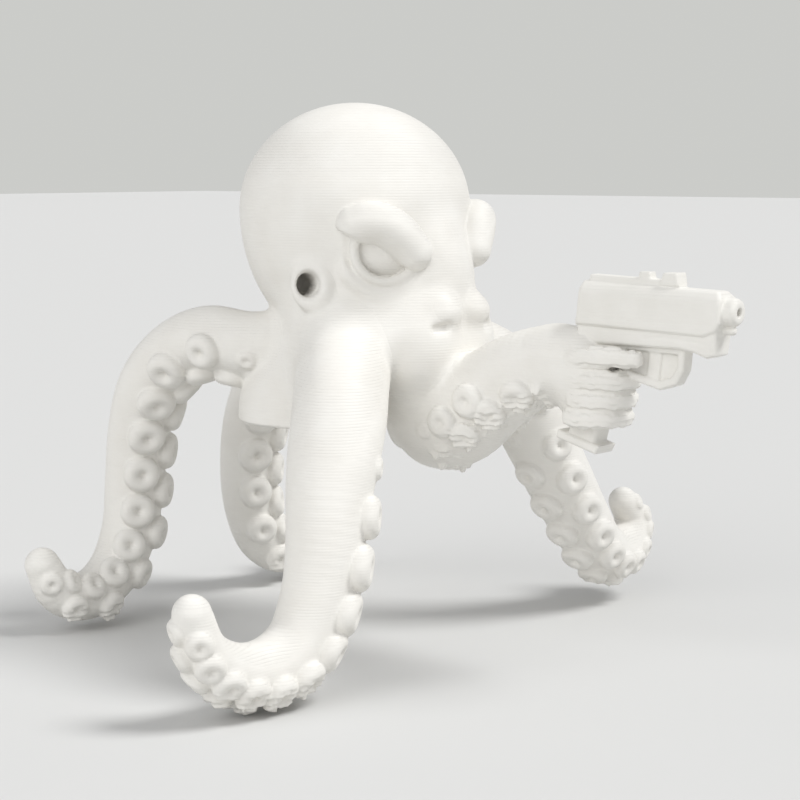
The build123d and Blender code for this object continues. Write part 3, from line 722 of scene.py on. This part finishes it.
def piece_fields(points):
    """Each piece's share of the whole, with a sunk tongue that reaches under its neighbours."""
    whole, own = fields(points)
    names = list(own)
    stack = np.stack([own[name] for name in names])
    order = np.sort(stack, axis=0)[:2]
    made = {}
    for name, field in zip(names, stack):
        rest = np.where(field <= order[0], order[1], order[0])
        apart = (field - rest) / 2
        sunk = whole + TONGUE_SINK * np.clip(apart / TONGUE, 0, 1)
        made[name] = np.maximum(sunk, apart - TONGUE)
    return made


def block_points(corners, step, count):
    """The grid points of cubes of count steps a side, one row of points a cube."""
    axis = np.arange(count)
    grid = np.stack(np.meshgrid(axis, axis, axis, indexing="ij"), -1).reshape(1, -1, 3)
    return (corners[:, None, :] + grid) * step


def is_fine(name):
    """The hand, its arm and the pistol are meshed with small voxels."""
    return name.startswith(("pistol", "gun")) or name.endswith(("finger", "thumb", "palm"))


def mesh_pieces(voxel, low, high, wanted):
    """Fills a grid for each wanted piece, group by group of blocks, and turns the grids into meshes."""
    size = voxel * BLOCK_VOXELS
    group = size * GROUP_BLOCKS
    first = np.floor(low / group).astype(int)
    last = np.ceil(high / group).astype(int)
    grids = {}
    reach = size * BLOCK_REACH
    for i in range(first[0], last[0]):
        for j in range(first[1], last[1]):
            for k in range(first[2], last[2]):
                base = np.array((i, j, k)) * GROUP_BLOCKS
                axis = np.arange(GROUP_BLOCKS)
                offsets = np.stack(np.meshgrid(axis, axis, axis, indexing="ij"), -1).reshape(-1, 3)
                blocks = base + offsets
                centres = (blocks + 0.5) * size
                rough = piece_fields(centres)
                near = np.zeros(len(blocks), bool)
                for name, field in rough.items():
                    if wanted(name):
                        near |= np.abs(field) < reach
                if not near.any():
                    continue
                blocks = blocks[near]
                corners = blocks * BLOCK_VOXELS
                points = block_points(corners, voxel, BLOCK_VOXELS).reshape(-1, 3)
                for name, field in piece_fields(points).items():
                    if not wanted(name):
                        continue
                    cubes = field.reshape(len(blocks), -1)
                    touched = (cubes.min(1) < BAND) & (cubes.max(1) > -BAND)
                    if not touched.any():
                        continue
                    grid = grids.setdefault(name, openvdb.FloatGrid(GRID_FAR))
                    for corner, cube in zip(corners[touched], cubes[touched]):
                        cube = np.clip(cube, -GRID_LIMIT, GRID_LIMIT).astype(np.float32)
                        cube = cube.reshape((BLOCK_VOXELS,) * 3)
                        grid.copyFromArray(cube, ijk=tuple(int(c) for c in corner), tolerance=0.0)
    made = {}
    for name, grid in grids.items():
        grid.signedFloodFill()
        grid.transform = openvdb.createLinearTransform(voxel)
        points, triangles, quads = grid.convertToPolygons(isovalue=0.0, adaptivity=0.0)
        made[name] = skin_mesh(name, points, triangles, quads)
    return made


def skin_mesh(name, points, triangles, quads):
    """A smooth-shaded object from the grid's faces, turned to face outward."""
    mesh = bpy.data.meshes.new(name + "_skin")
    mesh.vertices.add(len(points))
    mesh.vertices.foreach_set("co", (points * MM).astype(np.float32).ravel())
    loops = np.concatenate([quads[:, ::-1].ravel(), triangles[:, ::-1].ravel()])
    mesh.loops.add(len(loops))
    mesh.loops.foreach_set("vertex_index", loops.astype(np.int32))
    mesh.polygons.add(len(quads) + len(triangles))
    starts = np.concatenate([np.arange(len(quads)) * 4, len(quads) * 4 + np.arange(len(triangles)) * 3])
    mesh.polygons.foreach_set("loop_start", starts.astype(np.int32))
    mesh.update(calc_edges=True)
    mesh.shade_smooth()
    piece = bpy.data.objects.new(name + "_skin", mesh)
    bpy.context.scene.collection.objects.link(piece)
    return piece


LAYER_HEIGHT = 0.28
LAYER_DEPTH = 0.014
STAIR_DEPTH = 0.09
GRAIN_DEPTH = 0.002
GRAIN_SCALE = 5200
MOTTLE_SCALE = 240
STREAK_SCALE = 160
STREAK_STRETCH = 9
WANDER_SCALE = 90
WANDER_SHARE = 1.6
NOISE_RANGE = (0.3, 0.7)
RIDGE_RANGE = (0.3, 1.0)
ROUGHNESS_RANGE = (0.5, 0.68)
PLASTIC_SPECULAR = 0.38


def maths(tree, operation, *inputs):
    """A Math node. Inputs are sockets or numbers."""
    node = tree.nodes.new("ShaderNodeMath")
    node.operation = operation
    for socket, value in zip(node.inputs, inputs):
        if isinstance(value, (int, float)):
            socket.default_value = value
        else:
            tree.links.new(value, socket)
    return node.outputs[0]


def noise(tree, place, scale, detail=2.0):
    node = tree.nodes.new("ShaderNodeTexNoise")
    node.inputs["Scale"].default_value = scale
    node.inputs["Detail"].default_value = detail
    tree.links.new(place, node.inputs["Vector"])
    return node.outputs["Fac"]


def remap(tree, value, low, high):
    """Spreads the middle of a noise over the range from low to high."""
    node = tree.nodes.new("ShaderNodeMapRange")
    node.inputs["From Min"].default_value = NOISE_RANGE[0]
    node.inputs["From Max"].default_value = NOISE_RANGE[1]
    node.inputs["To Min"].default_value = low
    node.inputs["To Max"].default_value = high
    tree.links.new(value, node.inputs["Value"])
    return node.outputs["Result"]


def plastic(name, light, dark, layer_depth):
    """Matte plastic printed in thin level layers, with uneven ridges and a faintly mottled colour."""
    material = bpy.data.materials.new(name)
    material.use_nodes = True
    tree = material.node_tree
    link = tree.links.new
    shader = tree.nodes["Principled BSDF"]
    shader.inputs["Specular IOR Level"].default_value = PLASTIC_SPECULAR
    place = tree.nodes.new("ShaderNodeTexCoord").outputs["Object"]
    split = tree.nodes.new("ShaderNodeSeparateXYZ")
    link(place, split.inputs[0])
    flat = tree.nodes.new("ShaderNodeMapping")
    flat.inputs["Scale"].default_value = (1, 1, STREAK_STRETCH)
    link(place, flat.inputs["Vector"])
    streaks = noise(tree, flat.outputs[0], STREAK_SCALE, 3.0)
    mottle = noise(tree, place, MOTTLE_SCALE, 4.0)
    grain = noise(tree, place, GRAIN_SCALE, 1.0)
    colour = tree.nodes.new("ShaderNodeMix")
    colour.data_type = "RGBA"
    colour.inputs["A"].default_value = (*light, 1)
    colour.inputs["B"].default_value = (*dark, 1)
    link(remap(tree, mottle, 0.0, 1.0), colour.inputs["Factor"])
    link(colour.outputs["Result"], shader.inputs["Base Color"])
    link(remap(tree, streaks, *ROUGHNESS_RANGE), shader.inputs["Roughness"])
    wander = maths(tree, "MULTIPLY", noise(tree, place, WANDER_SCALE), WANDER_SHARE)
    phase = maths(tree, "MULTIPLY_ADD", split.outputs["Z"], pi / (LAYER_HEIGHT * MM), wander)
    ridge = maths(tree, "ABSOLUTE", maths(tree, "SINE", phase))
    uneven = maths(tree, "MULTIPLY", ridge, remap(tree, streaks, *RIDGE_RANGE))
    tread = maths(tree, "FRACT", maths(tree, "DIVIDE", phase, pi))
    facing = tree.nodes.new("ShaderNodeSeparateXYZ")
    link(tree.nodes.new("ShaderNodeNewGeometry").outputs["Normal"], facing.inputs[0])
    level = remap(tree, maths(tree, "ABSOLUTE", facing.outputs["Z"]), 0.0, 1.0)
    stairs = maths(tree, "MULTIPLY", maths(tree, "MULTIPLY", tread, level), STAIR_DEPTH * MM)
    ridges = maths(tree, "MULTIPLY_ADD", uneven, layer_depth * MM, stairs)
    height = maths(tree, "MULTIPLY_ADD", grain, GRAIN_DEPTH * MM, ridges)
    bump = tree.nodes.new("ShaderNodeBump")
    bump.inputs["Strength"].default_value = 1.0
    bump.inputs["Distance"].default_value = 1.0
    link(height, bump.inputs["Height"])
    link(bump.outputs[0], shader.inputs["Normal"])
    return material


MATERIALS = {
    "body_plastic": plastic("body_plastic", (0.83, 0.815, 0.775), (0.79, 0.77, 0.725), LAYER_DEPTH),
    "pistol_plastic": plastic("pistol_plastic", (0.82, 0.805, 0.765), (0.77, 0.755, 0.71), LAYER_DEPTH / 2),
}


def dress(piece, node):
    """Gives a piece its plastic and puts it in place of its CAD node."""
    slot = "pistol_plastic" if node.startswith("pistol") else "body_plastic"
    piece.data.materials.append(MATERIALS[slot])
    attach(piece, "root")
    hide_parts(node)


whole_box = [np.array(corner) / MM for corner in cad_box]
fine_box = [np.array(corner) for corner in FINE_BOX]
skins = mesh_pieces(BODY_VOXEL, *whole_box, lambda name: not is_fine(name))
skins.update(mesh_pieces(FINE_VOXEL, *fine_box, is_fine))
for node, skin in skins.items():
    dress(skin, node)


FLOOR_SPAN = 2.5
FLOOR_GAP = 0.0002
FLOOR_COLOUR = (0.66, 0.66, 0.65, 1)
FLOOR_ROUGHNESS = 0.9
FLOOR_SPECULAR = 0.1
SKY_COLOUR = (0.98, 0.985, 1.0, 1)
SKY_STRENGTH = 0.44
WALL_COLOUR = (0.60, 0.605, 0.585, 1)
SUNS = {
    "key_sun": ((0.30, -0.62, 0.86), 2.15, radians(24)),
    "fill_sun": ((-0.85, -0.05, 0.45), 1.3, radians(60)),
}


def shader_node(tree, kind, colour, strength):
    node = tree.nodes.new(kind)
    node.inputs["Color"].default_value = colour
    node.inputs["Strength"].default_value = strength
    return node


def studio_world():
    """An even pale light, which the camera sees as a light grey wall."""
    world = bpy.data.worlds.new("studio")
    bpy.context.scene.world = world
    world.use_nodes = True
    tree = world.node_tree
    tree.nodes.clear()
    lit = shader_node(tree, "ShaderNodeBackground", SKY_COLOUR, SKY_STRENGTH)
    seen = shader_node(tree, "ShaderNodeBackground", WALL_COLOUR, 1.0)
    path = tree.nodes.new("ShaderNodeLightPath")
    mix = tree.nodes.new("ShaderNodeMixShader")
    tree.links.new(path.outputs["Is Camera Ray"], mix.inputs[0])
    tree.links.new(lit.outputs[0], mix.inputs[1])
    tree.links.new(seen.outputs[0], mix.inputs[2])
    tree.links.new(mix.outputs[0], tree.nodes.new("ShaderNodeOutputWorld").inputs["Surface"])


def plain_floor():
    low = min(cad_box[0].z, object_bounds()[0].z) - FLOOR_GAP
    mesh = bpy.data.meshes.new("floor")
    corners = [(x * FLOOR_SPAN, y * FLOOR_SPAN, low) for x, y in ((-1, -1), (1, -1), (1, 1), (-1, 1))]
    mesh.from_pydata(corners, [], [(0, 1, 2, 3)])
    floor = bpy.data.objects.new("floor", mesh)
    bpy.context.scene.collection.objects.link(floor)
    paint = bpy.data.materials.new("floor_paint")
    paint.use_nodes = True
    shader = paint.node_tree.nodes["Principled BSDF"]
    shader.inputs["Base Color"].default_value = FLOOR_COLOUR
    shader.inputs["Roughness"].default_value = FLOOR_ROUGHNESS
    shader.inputs["Specular IOR Level"].default_value = FLOOR_SPECULAR
    mesh.materials.append(paint)


def soft_sun(name, place, power, spread):
    lamp = bpy.data.lights.new(name, "SUN")
    lamp.angle = spread
    lamp.energy = power
    holder = bpy.data.objects.new(name, lamp)
    holder.rotation_mode = "QUATERNION"
    holder.rotation_quaternion = (-Vector(place)).to_track_quat("-Z", "Y")
    bpy.context.scene.collection.objects.link(holder)


# The camera: place in metres, horizontal heading, degrees down and lens in mm
CAMERA_PLACE = (-0.15857, -0.13441, 0.0270)
CAMERA_HEADING = (0.7775, 0.6289)
CAMERA_DOWN = 6.9
CAMERA_LENS = 87.8
CAMERA_SENSOR = 36.0
CAMERA_NEAR = 0.005


def photograph_camera():
    data = bpy.data.cameras.new("camera")
    data.lens = CAMERA_LENS
    data.sensor_width = CAMERA_SENSOR
    data.clip_start = CAMERA_NEAR
    camera = bpy.data.objects.new("camera", data)
    x, y = CAMERA_HEADING
    down = radians(CAMERA_DOWN)
    forward = Vector((x * cos(down), y * cos(down), -sin(down)))
    camera.location = CAMERA_PLACE
    camera.rotation_mode = "QUATERNION"
    camera.rotation_quaternion = forward.to_track_quat("-Z", "Y")
    bpy.context.scene.collection.objects.link(camera)
    bpy.context.scene.camera = camera


studio_world()
plain_floor()
for name, sizes in SUNS.items():
    soft_sun(name, *sizes)
photograph_camera()
bpy.context.scene.view_settings.view_transform = "Standard"
